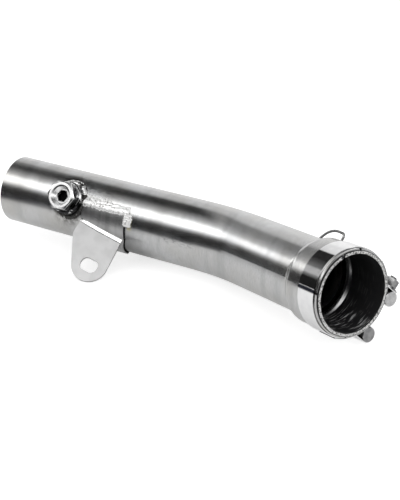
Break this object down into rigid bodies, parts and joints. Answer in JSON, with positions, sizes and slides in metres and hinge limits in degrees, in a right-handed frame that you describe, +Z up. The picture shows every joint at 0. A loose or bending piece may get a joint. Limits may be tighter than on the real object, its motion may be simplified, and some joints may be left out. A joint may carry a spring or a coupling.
{
  "type": "motorcycle decat pipe",
  "caption": "Bent stainless exhaust link pipe with a slotted, gasketed clamp socket, a plugged sensor bung and a welded, slotted hanger bracket.",
  "frame": {"origin": "centre of the bounding box on the floor that the pipe rests on", "axes": "+Z up in the resting attitude; +X along the straight run, from the plain end to the socket; +Y away from the bracket's face"},
  "size_m": [0.3822, 0.1348, 0.0815],
  "materials": {
    "tube": "brushed, slightly stained by heat",
    "gasket": "matte, dark inside, worn bright on its rim",
    "band": "polished",
    "hardware": "satin",
    "wire": "dull",
    "bung": "turned",
    "plug": "bright",
    "weld": "rippled bead",
    "bracket": "satin sheet"
  },
  "bodies": {
    "root": {"main_tube": "tube", "gasket_sleeve": "gasket", "clamp_band": "band", "clamp_tongue": "band", "upper_barrel": "hardware", "lower_barrel": "hardware", "clamp_bolt": "hardware", "clamp_washer": "hardware", "clamp_nut": "hardware", "wire_hook": "wire", "sensor_bung": "bung", "bung_weld": "weld", "plug_washer": "bung", "bung_plug": "plug", "bracket_saddle": "bracket", "saddle_weld": "weld", "bracket_tab": "bracket", "tab_weld": "weld"}
  },
  "joints": []
}
